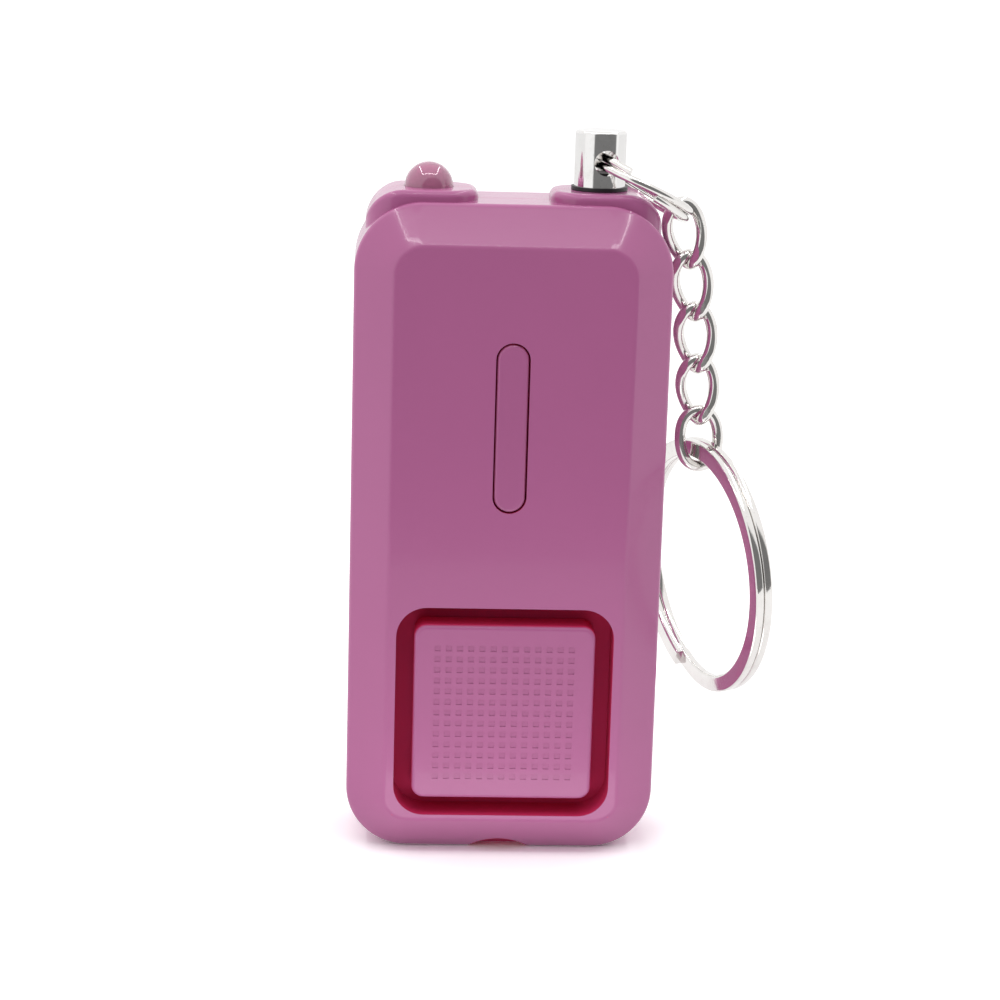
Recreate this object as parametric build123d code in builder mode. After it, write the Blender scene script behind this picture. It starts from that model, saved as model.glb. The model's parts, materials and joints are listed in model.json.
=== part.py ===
"""Personal safety alarm: a pull-pin siren in a bevelled case, with its split ring, curb chain and key ring.

Millimetres, +Z up. The origin is the centre of the flat face on which the case stands. -Y is the front,
where the button is, and +X is the side on which the chain hangs.
"""
import os
from math import cos, pi, radians, sin, sqrt

from build123d import *

os.makedirs("parts", exist_ok=True)

# Case
case_width = 32.5
case_height = 68.6
case_depth = 17.0
wall = 1.6
top_corner_radius = 7.0
foot_corner_radius = 6.5
front_bevel_width = 4.0
front_bevel_depth = 3.2
rear_bevel_width = 2.6
rear_bevel_depth = 2.6
bevel_softness = 0.9
cut_overrun = 1.0
notch_radius = 4.85
notch_height = 1.2
notch_depth = 4.5

# Ears round the lamp and the pull pin
ear_inset = 7.5
ear_inner_reach = 5.05
ear_side_step = 1.05
ear_rise = 1.1
ear_foot_z = 60.0
ear_front_y = -4.6
ear_rear_y = 4.9
ear_outer_radius = 3.9
ear_plan_radius = 3.6
ear_inner_radius = 0.9
ear_edge_radius = 0.7

# Button well and button
well_side = 22.6
well_centre_z = 15.9
well_corner_radius = 3.2
well_wall = 1.2
well_depth = 4.2
well_floor = 1.2
button_side_gap = 1.9
button_corner_radius = 1.3
button_shell = 1.4
button_edge_radius = 0.45
button_travel = 0.8
button_foot_clearance = 0.1
dimple_count = 13
dimple_pitch = 1.16
dimple_side = 0.6
dimple_depth = 0.25
stem_radius = 2.2
stem_clearance = 0.1
leg_inset = 2.6
leg_thickness = 1.2
leg_width = 3.6
leg_slot_clearance = 0.15
hook_reach = 0.6
hook_height = 0.95
hook_clearance = 0.05

# Pill insert
pill_length = 17.7
pill_width = 3.5
pill_centre_z = 46.15
pill_gap = 0.15
pill_edge_radius = 0.35
pill_flange_margin = 1.0
pill_flange_thickness = 0.8

# Circuit board and what stands on it
board_face_y = 0.3
board_thickness = 1.2
board_side_clearance = 1.65
board_foot_z = 9.6
board_top_z = 60.2
board_corner_radius = 1.5
post_radius = 1.1
post_inset = 1.4
post_low_z = 30.6
post_high_z = 55.0
switch_side = 5.2
switch_height = 1.9
switch_edge_radius = 0.3
plunger_radius = 1.2
plunger_clearance = 0.05
plunger_length = 1.65
plunger_top_clearance = 0.2
plunger_well_spare = 0.5
chip_length = 5.0
chip_width = 4.0
chip_height = 1.5
chip_x = -6.0
parts_row_z = 27.6
coil_radius = 2.7
coil_height = 2.2
coil_x = 6.0
coil_flange = 0.4
coil_waist_share = 0.75
capacitor_radius = 1.1
capacitor_length = 6.0
capacitor_z = 12.4

# Siren
siren_centre_z = 18.4
siren_ring_radius = 11.8
siren_ring_bore_radius = 10.4
siren_ring_height = 2.5
siren_plate_radius = 11.2
siren_plate_thickness = 0.25
siren_seat_clearance = 0.1
siren_ceramic_radius = 7.5
siren_ceramic_thickness = 0.25
siren_pin_radius = 0.4
siren_pin_offset_x = 9.3
slot_count = 7
slot_width = 1.2
slot_pitch = 2.2
slot_field_radius = 8.2

# Cells, battery box and door
cell_diameter = 11.6
cell_height = 5.4
cell_spacing = 12.0
cell_row_z = 42.2
cell_seat_y = 1.75
cell_edge_radius = 0.4
cell_margin = 0.4
box_foot_z = 31.9
box_top_margin = 0.51
box_corner_radius = 3.0
box_wall = 1.2
door_margin = 0.9
door_thickness = 1.2
door_clearance = 0.15
contact_width = 5.0
contact_strip_thickness = 0.15
contact_plate_side = 6.0
door_screw_z = 33.5
door_boss_radius = 2.0
door_screw_head_radius = 1.6
door_screw_head_height = 0.7
door_screw_length = 5.5

# Screws
screw_radius = 0.9
screw_clearance = 0.05
screw_head_radius = 1.8
screw_head_height = 1.2
screw_length = 9.5
screw_recess_depth = 1.6
screw_recess_clearance = 0.2
screw_slot_width = 0.4
screw_slot_depth = 0.4
boss_radius = 2.2
low_boss_inset = 6.25
low_boss_z = 6.2
high_boss_z = 63.8

# Lamp
lamp_radius = 2.5
lamp_clearance = 0.05
lamp_flange_radius = 2.9
lamp_flange_height = 1.0
lamp_collar_wall = 0.8
lamp_top_z = 72.2
lamp_length = 8.6
lead_side = 0.5
lead_spacing = 2.54
lead_foot_z = 54.0

# Pull pin and its socket
head_radius = 2.65
head_height = 5.7
head_edge_radius = 0.3
head_bore_depth = 1.4
collar_radius = 2.9
collar_height = 0.35
collar_gap = 0.05
pin_radius = 1.5
pin_clearance = 0.1
pin_foot_z = 61.0
pin_tip_radius = 0.6
hole_radius = 1.3
hole_height = 2.95
hole_turn = 11.5
socket_width = 5.0
socket_depth = 5.2
socket_height = 5.6
socket_board_gap = 0.2
socket_corner_radius = 0.8
blade_thickness = 0.3
blade_width = 2.0
blade_gap = 0.05
blade_tail = 0.1
blade_height = 5.0

# Small split ring
ring_wire = 0.85
ring_outer_diameter = 12.0
ring_coil_gap = 0.03
ring_turns = 1.9
ring_start_angle = 90.0
ring_seat_shift = 0.33
ring_slope = 31.0

# Chain
link_wire = 1.1
link_length = 7.8
link_width = 4.75
link_slack = 0.06
link_twist = 45.0
link_side_slope = 24.0
link_yaw = -20.0
link_leans = (11.0, 8.0, 5.0, 4.3)
first_link_rise = 1.4
first_link_shift = -0.46
end_link_length = 7.25
end_link_width = 5.3
end_link_yaw = 8.0
end_link_lean = 4.3

# Key ring
key_ring_diameter = 27.5
key_ring_radial = 1.8
key_ring_coil = 0.95
key_ring_coil_gap = 0.05
key_ring_edge_radius = 0.25
key_ring_turns = 1.9
key_ring_start_angle = -78.0
key_ring_turn = 69.0
key_ring_slack = 0.46

# Sizes and places that follow from the ones above
ear_offset = case_width / 2 - ear_inset
ear_inner_x = ear_offset - ear_inner_reach
ear_outer_x = case_width / 2 - ear_side_step
button_side = well_side - 2 * button_side_gap
leg_offset = button_side / 2 - leg_inset
board_width = case_width - 2 * (wall + board_side_clearance)
post_offset_x = board_width / 2 - post_inset
low_boss_x = case_width / 2 - low_boss_inset
box_width = cell_spacing + cell_diameter + 2 * cell_margin
front_y = -case_depth / 2
rear_y = case_depth / 2
front_inner_y = front_y + wall
rear_inner_y = rear_y - wall
ear_top_z = case_height + ear_rise
ceiling_z = case_height - wall
well_floor_y = front_y + well_depth
well_back_y = well_floor_y + well_floor
board_back_y = board_face_y + board_thickness
button_height = well_depth - button_travel - button_foot_clearance
button_back_y = front_y + button_height
switch_face_y = board_face_y - switch_height
plunger_rise = button_travel + plunger_top_clearance
plunger_well_depth = plunger_rise + plunger_well_spare
plunger_tip_y = switch_face_y - plunger_rise
screw_places = ((-low_boss_x, low_boss_z), (low_boss_x, low_boss_z), (0, high_boss_z))
post_places = [(x, z) for x in (-post_offset_x, post_offset_x) for z in (post_low_z, post_high_z)]
cell_top_z = cell_row_z + cell_spacing * sin(pi / 3)
box_top_z = cell_top_z + cell_diameter / 2 + box_top_margin
cell_places = ((-cell_spacing / 2, cell_row_z), (cell_spacing / 2, cell_row_z), (0, cell_top_z))
box_height = box_top_z - box_foot_z
box_centre_z = (box_top_z + box_foot_z) / 2


def at_y(y):
    """The plane across the depth at y, whose local axes are the case's X and Z, facing the front."""
    return Plane(origin=(0, y, 0), x_dir=(1, 0, 0), z_dir=(0, -1, 0))


def case_outline(inset=0):
    """The case seen from the front, drawn in by inset all round."""
    with BuildSketch() as outline:
        with Locations((0, inset)):
            Rectangle(
                case_width - 2 * inset, case_height - 2 * inset, align=(Align.CENTER, Align.MIN)
            )
        fillet(outline.vertices().group_by(Axis.Y)[-1], top_corner_radius - inset)
        fillet(outline.vertices().group_by(Axis.Y)[0], foot_corner_radius - inset)
    return outline.sketch


def half_slab(inset, end_y, bevel_width, bevel_depth, softness=0):
    """One half of the case's form, from the parting plane to end_y, with its outer rim bevelled."""
    with BuildPart(mode=Mode.PRIVATE) as slab:
        with BuildSketch(at_y(0)):
            add(case_outline(inset))
        extrude(amount=-end_y)
        side = Axis.Y if end_y > 0 else Axis((0, 0, 0), (0, -1, 0))
        outer_face = slab.faces().sort_by(side)[-1]
        chamfer(outer_face.edges(), bevel_width, bevel_depth, reference=outer_face)
        if softness:
            rim = abs(end_y) - bevel_depth
            soft_edges = slab.edges().filter_by(lambda e: abs(e.center().Y) > rim - softness)
            soft_edges = soft_edges.filter_by(GeomType.LINE) + soft_edges.filter_by(GeomType.CIRCLE)
            flat_edges = soft_edges.filter_by(lambda e: abs((e @ 0).Y - (e @ 1).Y) < softness)
            fillet(flat_edges, softness)
    return slab.part


def ears(end_y):
    """Both ears from the parting plane to end_y: lobes with round corners from the front and from above."""
    with BuildPart(mode=Mode.PRIVATE) as pair:
        with BuildSketch(at_y(0)) as profile:
            with Locations(((ear_inner_x + ear_outer_x) / 2, ear_foot_z)):
                Rectangle(
                    ear_outer_x - ear_inner_x, ear_top_z - ear_foot_z, align=(Align.CENTER, Align.MIN)
                )
            top_corners = profile.vertices().group_by(Axis.Y)[-1].sort_by(Axis.X)
            fillet(top_corners[-1], ear_outer_radius)
            fillet(profile.vertices().group_by(Axis.Y)[-1].sort_by(Axis.X)[0], ear_inner_radius)
            mirror(about=Plane.YZ)
        extrude(amount=-end_y)
        with BuildSketch(Plane.XY.offset(ear_foot_z)):
            with Locations(*((side * (ear_inner_x + ear_outer_x) / 2, 0) for side in (-1, 1))):
                RectangleRounded(ear_outer_x - ear_inner_x, 2 * abs(end_y), ear_plan_radius)
        extrude(amount=ear_top_z - ear_foot_z, mode=Mode.INTERSECT)
        rim = pair.edges().filter_by(lambda e: e.center().Z > ear_top_z - ear_outer_radius)
        rim = rim.filter_by(lambda e: abs(e.center().Y) > ear_edge_radius)
        fillet(rim.filter_by(Axis.Z, reverse=True), ear_edge_radius)
    return pair.part


def finish(piece, name):
    """Name the piece and write its file."""
    piece.label = name
    export_step(piece, f"parts/{name}.step")


def board_part_plane(y=board_back_y):
    """The plane on the board's rear face, or at y, whose local axes are the case's -X and Z, facing the rear."""
    return Plane(origin=(0, y, 0), x_dir=(-1, 0, 0), z_dir=(0, 1, 0))


# Front casing
with BuildPart() as front_casing:
    add(half_slab(0, front_y, front_bevel_width, front_bevel_depth, bevel_softness))
    add(ears(ear_front_y))
    add(half_slab(wall, front_inner_y, front_bevel_width, front_bevel_depth), mode=Mode.SUBTRACT)
    # The button's well, with a bore for the stem and two slots for the hooked legs
    with BuildSketch(at_y(well_back_y)):
        with Locations((0, well_centre_z)):
            RectangleRounded(
                well_side + 2 * well_wall, well_side + 2 * well_wall, well_corner_radius + well_wall
            )
    extrude(amount=well_back_y - front_inner_y)
    with BuildSketch(at_y(well_floor_y)):
        with Locations((0, well_centre_z)):
            RectangleRounded(well_side, well_side, well_corner_radius)
    extrude(amount=well_depth + cut_overrun, mode=Mode.SUBTRACT)
    with BuildSketch(at_y(well_back_y + cut_overrun)):
        with Locations((0, well_centre_z)):
            Circle(stem_radius + stem_clearance)
        with Locations(*((side * leg_offset, well_centre_z) for side in (-1, 1))):
            Rectangle(leg_thickness + 2 * leg_slot_clearance, leg_width + 2 * leg_slot_clearance)
    extrude(amount=well_floor + 2 * cut_overrun, mode=Mode.SUBTRACT)
    # The slot of the pill insert
    with BuildSketch(at_y(front_inner_y + cut_overrun)):
        with Locations((0, pill_centre_z)):
            SlotOverall(pill_length, pill_width, rotation=90)
    extrude(amount=wall + 2 * cut_overrun, mode=Mode.SUBTRACT)
    # Screw bosses, board posts and the collar round the lamp
    with BuildSketch(at_y(0)):
        with Locations(*screw_places):
            Circle(boss_radius)
    extrude(until=Until.NEXT)
    with BuildSketch(at_y(board_face_y)):
        with Locations(*post_places):
            Circle(post_radius)
    extrude(until=Until.NEXT)
    with BuildSketch(Plane.XY.offset(ceiling_z)):
        with Locations((-ear_offset, 0)):
            Circle(lamp_radius + lamp_clearance + lamp_collar_wall)
        Rectangle(case_width, case_width, align=(Align.CENTER, Align.MIN), mode=Mode.SUBTRACT)
    extrude(amount=-(ceiling_z - (lamp_top_z - lamp_length + lamp_flange_height)))
    with BuildSketch(at_y(cut_overrun)):
        with Locations(*screw_places):
            Circle(screw_radius + screw_clearance)
    extrude(amount=cut_overrun - well_back_y, mode=Mode.SUBTRACT)
    # Bores through the ears
    with Locations((-ear_offset, 0, ear_top_z)):
        Hole(lamp_radius + lamp_clearance, ear_top_z - ceiling_z + ear_offset)
    with Locations((ear_offset, 0, ear_top_z)):
        Hole(pin_radius + pin_clearance, ear_top_z - ceiling_z + cut_overrun)
    # The half-moon notch in the foot
    with BuildSketch(at_y(front_y + notch_depth)):
        with Locations((0, notch_height - notch_radius)):
            Circle(notch_radius)
    extrude(amount=notch_depth + cut_overrun, mode=Mode.SUBTRACT)
finish(front_casing.part, "front_casing")

# Rear casing
with BuildPart() as rear_casing:
    add(half_slab(0, rear_y, rear_bevel_width, rear_bevel_depth, bevel_softness))
    add(ears(ear_rear_y))
    add(half_slab(wall, rear_inner_y, rear_bevel_width, rear_bevel_depth), mode=Mode.SUBTRACT)
    # The battery box, open to the board
    with BuildSketch(board_part_plane(board_back_y)):
        with Locations((0, box_centre_z)):
            RectangleRounded(
                box_width + 2 * box_wall, box_height + 2 * box_wall, box_corner_radius + box_wall
            )
    extrude(amount=rear_inner_y - board_back_y)
    with BuildSketch(board_part_plane(board_back_y - cut_overrun)):
        with Locations((0, box_centre_z)):
            RectangleRounded(box_width, box_height, box_corner_radius)
    extrude(amount=rear_y - board_back_y + 2 * cut_overrun, mode=Mode.SUBTRACT)
    with BuildSketch(board_part_plane(rear_y - door_thickness)):
        with Locations((0, box_centre_z)):
            RectangleRounded(
                box_width + 2 * (door_margin + door_clearance),
                box_height + 2 * (door_margin + door_clearance),
                box_corner_radius,
            )
    extrude(amount=door_thickness + cut_overrun, mode=Mode.SUBTRACT)
    with BuildSketch(board_part_plane(board_back_y)):
        with Locations((0, door_screw_z)):
            Circle(door_boss_radius)
    extrude(amount=rear_y - door_thickness - board_back_y)
    # Screw bosses, and the collar round the lamp
    with BuildSketch(board_part_plane(0)):
        with Locations(*screw_places):
            Circle(boss_radius)
    extrude(until=Until.NEXT)
    with BuildSketch(Plane.XY.offset(ceiling_z)):
        with Locations((-ear_offset, 0)):
            Circle(lamp_radius + lamp_clearance + lamp_collar_wall)
        Rectangle(case_width, case_width, align=(Align.CENTER, Align.MAX), mode=Mode.SUBTRACT)
    extrude(amount=-(ceiling_z - (lamp_top_z - lamp_length + lamp_flange_height)))
    with BuildSketch(board_part_plane(-cut_overrun)):
        with Locations(*screw_places):
            Circle(screw_radius + screw_clearance)
        with Locations((0, door_screw_z)):
            Circle(screw_radius + screw_clearance)
    extrude(amount=rear_y + 2 * cut_overrun, mode=Mode.SUBTRACT)
    with BuildSketch(board_part_plane(rear_y - screw_recess_depth)):
        with Locations(*screw_places):
            Circle(screw_head_radius + screw_recess_clearance)
    extrude(amount=screw_recess_depth + cut_overrun, mode=Mode.SUBTRACT)
    # Bores through the ears
    with Locations((-ear_offset, 0, ear_top_z)):
        Hole(lamp_radius + lamp_clearance, ear_top_z - ceiling_z + ear_offset)
    with Locations((ear_offset, 0, ear_top_z)):
        Hole(pin_radius + pin_clearance, ear_top_z - ceiling_z + cut_overrun)
    # Sound slots before the siren
    with BuildSketch(board_part_plane(rear_inner_y - cut_overrun)):
        for index in range(slot_count):
            offset_z = (index - (slot_count - 1) / 2) * slot_pitch
            with Locations((0, siren_centre_z + offset_z)):
                SlotOverall(2 * sqrt(slot_field_radius**2 - offset_z**2), slot_width)
    extrude(amount=wall + 2 * cut_overrun, mode=Mode.SUBTRACT)
finish(rear_casing.part, "rear_casing")

# Pill insert, held by its flange behind the front wall
with BuildPart() as pill_insert:
    with BuildSketch(at_y(front_inner_y)):
        with Locations((0, pill_centre_z)):
            SlotOverall(pill_length - 2 * pill_gap, pill_width - 2 * pill_gap, rotation=90)
    extrude(amount=wall)
    fillet(pill_insert.faces().sort_by(Axis.Y)[0].edges(), pill_edge_radius)
    with BuildSketch(at_y(front_inner_y + pill_flange_thickness)):
        with Locations((0, pill_centre_z)):
            SlotOverall(
                pill_length + 2 * pill_flange_margin, pill_width + 2 * pill_flange_margin, rotation=90
            )
    extrude(amount=pill_flange_thickness)
finish(pill_insert.part, "pill_insert")

# Button: a hollow cap with a waffle of dimples, a stem and two hooked legs
with BuildPart() as square_button:
    with BuildSketch(at_y(button_back_y)):
        with Locations((0, well_centre_z)):
            RectangleRounded(button_side, button_side, button_corner_radius)
    extrude(amount=button_height)
    fillet(square_button.faces().sort_by(Axis.Y)[0].edges(), button_edge_radius)
    with BuildSketch(at_y(button_back_y)):
        with Locations((0, well_centre_z)):
            Rectangle(button_side - 2 * button_shell, button_side - 2 * button_shell)
    extrude(amount=button_height - button_shell, mode=Mode.SUBTRACT)
    with BuildSketch(at_y(plunger_tip_y)):
        with Locations((0, well_centre_z)):
            Circle(stem_radius)
    extrude(amount=plunger_tip_y - front_y - button_shell)
    with BuildSketch(at_y(well_back_y + hook_clearance)):
        with Locations(*((side * leg_offset, well_centre_z) for side in (-1, 1))):
            Rectangle(leg_thickness, leg_width)
    extrude(amount=well_back_y + hook_clearance - front_y - button_shell)
    with BuildSketch(at_y(well_back_y + hook_clearance + hook_height)):
        with Locations(*((side * (leg_offset + hook_reach / 2), well_centre_z) for side in (-1, 1))):
            Rectangle(leg_thickness + hook_reach, leg_width)
    extrude(amount=hook_height)
    with BuildSketch(at_y(front_y + dimple_depth)):
        with Locations((0, well_centre_z)):
            with GridLocations(dimple_pitch, dimple_pitch, dimple_count, dimple_count):
                Rectangle(dimple_side, dimple_side)
    extrude(amount=dimple_depth + cut_overrun, mode=Mode.SUBTRACT)
finish(square_button.part, "square_button")

# Circuit board, and what is soldered to its two faces
with BuildPart() as circuit_board:
    with BuildSketch(at_y(board_back_y)):
        with Locations((0, (board_foot_z + board_top_z) / 2)):
            RectangleRounded(board_width, board_top_z - board_foot_z, board_corner_radius)
    extrude(amount=board_thickness)
finish(circuit_board.part, "circuit_board")

with BuildPart() as tact_switch:
    with BuildSketch(at_y(board_face_y)):
        with Locations((0, well_centre_z)):
            RectangleRounded(switch_side, switch_side, switch_edge_radius)
    extrude(amount=switch_height)
    with BuildSketch(at_y(switch_face_y + plunger_well_depth)):
        with Locations((0, well_centre_z)):
            Circle(plunger_radius + plunger_clearance)
    extrude(amount=plunger_well_depth, mode=Mode.SUBTRACT)
finish(tact_switch.part, "tact_switch")

with BuildPart() as switch_plunger:
    with BuildSketch(at_y(plunger_tip_y + plunger_length)):
        with Locations((0, well_centre_z)):
            Circle(plunger_radius)
    extrude(amount=plunger_length)
finish(switch_plunger.part, "switch_plunger")

with BuildPart() as driver_chip:
    with BuildSketch(board_part_plane()):
        with Locations((-chip_x, parts_row_z)):
            Rectangle(chip_length, chip_width)
    extrude(amount=chip_height)
finish(driver_chip.part, "driver_chip")

with BuildPart() as boost_coil:
    with BuildSketch(board_part_plane()):
        with Locations((-coil_x, parts_row_z)):
            Circle(coil_radius)
    extrude(amount=coil_height)
    with BuildSketch(board_part_plane(board_back_y + coil_flange)):
        with Locations((-coil_x, parts_row_z)):
            Circle(coil_radius)
            Circle(coil_radius * coil_waist_share, mode=Mode.SUBTRACT)
    extrude(amount=coil_height - 2 * coil_flange, mode=Mode.SUBTRACT)
finish(boost_coil.part, "boost_coil")

with BuildPart() as capacitor:
    with BuildSketch(Plane.YZ.offset(-capacitor_length / 2)):
        with Locations((board_back_y + capacitor_radius, capacitor_z)):
            Circle(capacitor_radius)
    extrude(amount=capacitor_length)
finish(capacitor.part, "capacitor")

# Siren: a disc in a seated ring before the sound slots
siren_plate_y = rear_inner_y - siren_ring_height
with BuildPart() as siren_ring:
    with BuildSketch(board_part_plane(siren_plate_y)):
        with Locations((0, siren_centre_z)):
            Circle(siren_ring_radius)
            Circle(siren_ring_bore_radius, mode=Mode.SUBTRACT)
    extrude(amount=siren_ring_height)
    with BuildSketch(board_part_plane(siren_plate_y)):
        with Locations((0, siren_centre_z)):
            Circle(siren_plate_radius + siren_seat_clearance)
    extrude(amount=siren_plate_thickness, mode=Mode.SUBTRACT)
finish(siren_ring.part, "siren_ring")

with BuildPart() as siren_plate:
    with BuildSketch(board_part_plane(siren_plate_y)):
        with Locations((0, siren_centre_z)):
            Circle(siren_plate_radius)
    extrude(amount=siren_plate_thickness)
finish(siren_plate.part, "siren_plate")

with BuildPart() as siren_ceramic:
    with BuildSketch(board_part_plane(siren_plate_y)):
        with Locations((0, siren_centre_z)):
            Circle(siren_ceramic_radius)
    extrude(amount=-siren_ceramic_thickness)
finish(siren_ceramic.part, "siren_ceramic")

with BuildPart() as siren_contacts:
    with BuildSketch(board_part_plane()):
        with Locations((0, siren_centre_z)):
            Circle(siren_pin_radius)
    extrude(amount=siren_plate_y - siren_ceramic_thickness - board_back_y)
    with BuildSketch(board_part_plane()):
        with Locations((siren_pin_offset_x, siren_centre_z)):
            Circle(siren_pin_radius)
    extrude(amount=siren_plate_y - board_back_y)
finish(siren_contacts.part, "siren_contacts")

# Cells, their contacts and the battery door
with BuildPart() as button_cells:
    with BuildSketch(board_part_plane(cell_seat_y)):
        with Locations(*cell_places):
            Circle(cell_diameter / 2)
    extrude(amount=cell_height)
    flat_ends = button_cells.edges().filter_by(GeomType.CIRCLE)
    fillet(flat_ends, cell_edge_radius)
finish(button_cells.part, "button_cells")

with BuildPart() as board_contacts:
    with BuildSketch(board_part_plane()):
        with Locations(*cell_places):
            Rectangle(contact_plate_side, contact_plate_side)
    extrude(amount=cell_seat_y - board_back_y)
finish(board_contacts.part, "board_contacts")

door_inner_y = rear_y - door_thickness
with BuildPart() as door_contact:
    with BuildSketch(board_part_plane(door_inner_y)):
        with Locations((0, cell_row_z)):
            Rectangle(cell_spacing + contact_width, contact_width)
        with Locations((0, (cell_row_z + cell_top_z) / 2)):
            Rectangle(contact_width, cell_top_z - cell_row_z)
    extrude(amount=-(door_inner_y - cell_seat_y - cell_height))
finish(door_contact.part, "door_contact")

with BuildPart() as battery_door:
    with BuildSketch(board_part_plane(door_inner_y)):
        with Locations((0, box_centre_z)):
            RectangleRounded(
                box_width + 2 * door_margin, box_height + 2 * door_margin, box_corner_radius
            )
    extrude(amount=door_thickness)
    with BuildSketch(board_part_plane(door_inner_y - cut_overrun)):
        with Locations((0, door_screw_z)):
            Circle(screw_radius + screw_clearance)
    extrude(amount=door_thickness + 2 * cut_overrun, mode=Mode.SUBTRACT)
    with BuildSketch(board_part_plane(rear_y - door_screw_head_height)):
        with Locations((0, door_screw_z)):
            Circle(door_screw_head_radius + screw_recess_clearance)
    extrude(amount=door_screw_head_height + cut_overrun, mode=Mode.SUBTRACT)
finish(battery_door.part, "battery_door")


def screw(centre_x, centre_z, head_top_y, head_radius, head_height, length):
    """A screw with a cross slot, driven from the rear."""
    head_foot_y = head_top_y - head_height
    with BuildPart(mode=Mode.PRIVATE) as body:
        with BuildSketch(board_part_plane(head_foot_y)):
            with Locations((-centre_x, centre_z)):
                Circle(head_radius)
        extrude(amount=head_height)
        with BuildSketch(board_part_plane(head_foot_y)):
            with Locations((-centre_x, centre_z)):
                Circle(screw_radius)
        extrude(amount=-(length - head_height))
        with BuildSketch(board_part_plane(head_top_y - screw_slot_depth)):
            with Locations((-centre_x, centre_z)):
                Rectangle(2 * head_radius, screw_slot_width)
                Rectangle(screw_slot_width, 2 * head_radius)
        extrude(amount=screw_slot_depth + cut_overrun, mode=Mode.SUBTRACT)
    return body.part


with BuildPart() as door_screw:
    add(screw(0, door_screw_z, rear_y, door_screw_head_radius, door_screw_head_height, door_screw_length))
finish(door_screw.part, "door_screw")

with BuildPart() as case_screws:
    for place_x, place_z in screw_places:
        head_top_y = rear_y - screw_recess_depth + screw_head_height
        add(screw(place_x, place_z, head_top_y, screw_head_radius, screw_head_height, screw_length))
finish(case_screws.part, "case_screws")

# Lamp and its leads
lamp_foot_z = lamp_top_z - lamp_length
lamp_plane = Plane(origin=(-ear_offset, 0, 0), x_dir=(1, 0, 0), z_dir=(0, -1, 0))
with BuildPart() as led_lamp:
    with BuildSketch(lamp_plane):
        with BuildLine():
            dome_z = lamp_top_z - lamp_radius
            flange_z = lamp_foot_z + lamp_flange_height
            Polyline(
                (0, lamp_top_z),
                (0, lamp_foot_z),
                (lamp_flange_radius, lamp_foot_z),
                (lamp_flange_radius, flange_z),
                (lamp_radius, flange_z),
                (lamp_radius, dome_z),
            )
            RadiusArc((lamp_radius, dome_z), (0, lamp_top_z), -lamp_radius)
        make_face()
    revolve(axis=Axis((-ear_offset, 0, 0), (0, 0, 1)))
finish(led_lamp.part, "led_lamp")

with BuildPart() as led_leads:
    with BuildSketch(Plane.XY.offset(lead_foot_z)):
        with Locations((-ear_offset, board_face_y - lead_side / 2)):
            with GridLocations(lead_spacing, 0, 2, 1):
                Rectangle(lead_side, lead_side)
    extrude(amount=lamp_foot_z - lead_foot_z)
finish(led_leads.part, "led_leads")

# Pull pin: a chromed head on a black collar and stem
collar_foot_z = ear_top_z + collar_gap
head_foot_z = collar_foot_z + collar_height
hole_z = ear_top_z + hole_height
hole_direction = Vector(sin(radians(hole_turn)), -cos(radians(hole_turn)), 0)
with BuildPart() as pin_head:
    with BuildSketch(Plane.XY.offset(head_foot_z)):
        with Locations((ear_offset, 0)):
            Circle(head_radius)
    extrude(amount=head_height)
    fillet(pin_head.edges().group_by(Axis.Z)[-1], head_edge_radius)
    with BuildSketch(Plane.XY.offset(head_foot_z)):
        with Locations((ear_offset, 0)):
            Circle(pin_radius)
    extrude(amount=head_bore_depth, mode=Mode.SUBTRACT)
    with BuildSketch(Plane(origin=(ear_offset, 0, hole_z), z_dir=hole_direction)):
        Circle(hole_radius)
    extrude(amount=head_radius + cut_overrun, both=True, mode=Mode.SUBTRACT)
finish(pin_head.part, "pin_head")

with BuildPart() as pin_stem:
    with BuildSketch(Plane.XY.offset(collar_foot_z)):
        with Locations((ear_offset, 0)):
            Circle(collar_radius)
    extrude(amount=collar_height)
    with BuildSketch(Plane.XY.offset(pin_foot_z)):
        with Locations((ear_offset, 0)):
            Circle(pin_radius)
    extrude(amount=head_foot_z + head_bore_depth - pin_foot_z)
    fillet(pin_stem.edges().group_by(Axis.Z)[0], pin_tip_radius)
finish(pin_stem.part, "pin_stem")

socket_foot_z = board_top_z + socket_board_gap
with BuildPart() as pin_socket:
    with BuildSketch(Plane.XY.offset(socket_foot_z)):
        with Locations((ear_offset, 0)):
            RectangleRounded(socket_width, socket_depth, socket_corner_radius)
            Circle(pin_radius + pin_clearance, mode=Mode.SUBTRACT)
            Rectangle(
                blade_width + 2 * blade_gap,
                2 * (pin_radius + blade_thickness + 2 * blade_gap),
                mode=Mode.SUBTRACT,
            )
    extrude(amount=socket_height)
finish(pin_socket.part, "pin_socket")

with BuildPart() as contact_blades:
    with BuildSketch(Plane.XY.offset(socket_foot_z - blade_tail)):
        blade_y = pin_radius + blade_gap + blade_thickness / 2
        with Locations(*((ear_offset, side * blade_y) for side in (-1, 1))):
            Rectangle(blade_width, blade_thickness)
    extrude(amount=blade_height)
finish(contact_blades.part, "contact_blades")

# Small split ring: two turns of round wire through the cross-hole, sloping down to the right
ring_radius = (ring_outer_diameter - ring_wire) / 2
ring_pitch = ring_wire + ring_coil_gap
slope = radians(ring_slope)
turn = radians(hole_turn)
ring_down = Vector(cos(slope) * cos(turn), cos(slope) * sin(turn), -sin(slope))
ring_normal = Vector(sin(slope) * cos(turn), sin(slope) * sin(turn), cos(slope))
hole_centre = Vector(ear_offset, 0, hole_z)
ring_centre = hole_centre + ring_down * (ring_radius - ring_seat_shift)
hole_share = (360 - ring_start_angle + 180) / 360
ring_base = ring_centre - ring_normal * (ring_pitch * hole_share)


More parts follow.
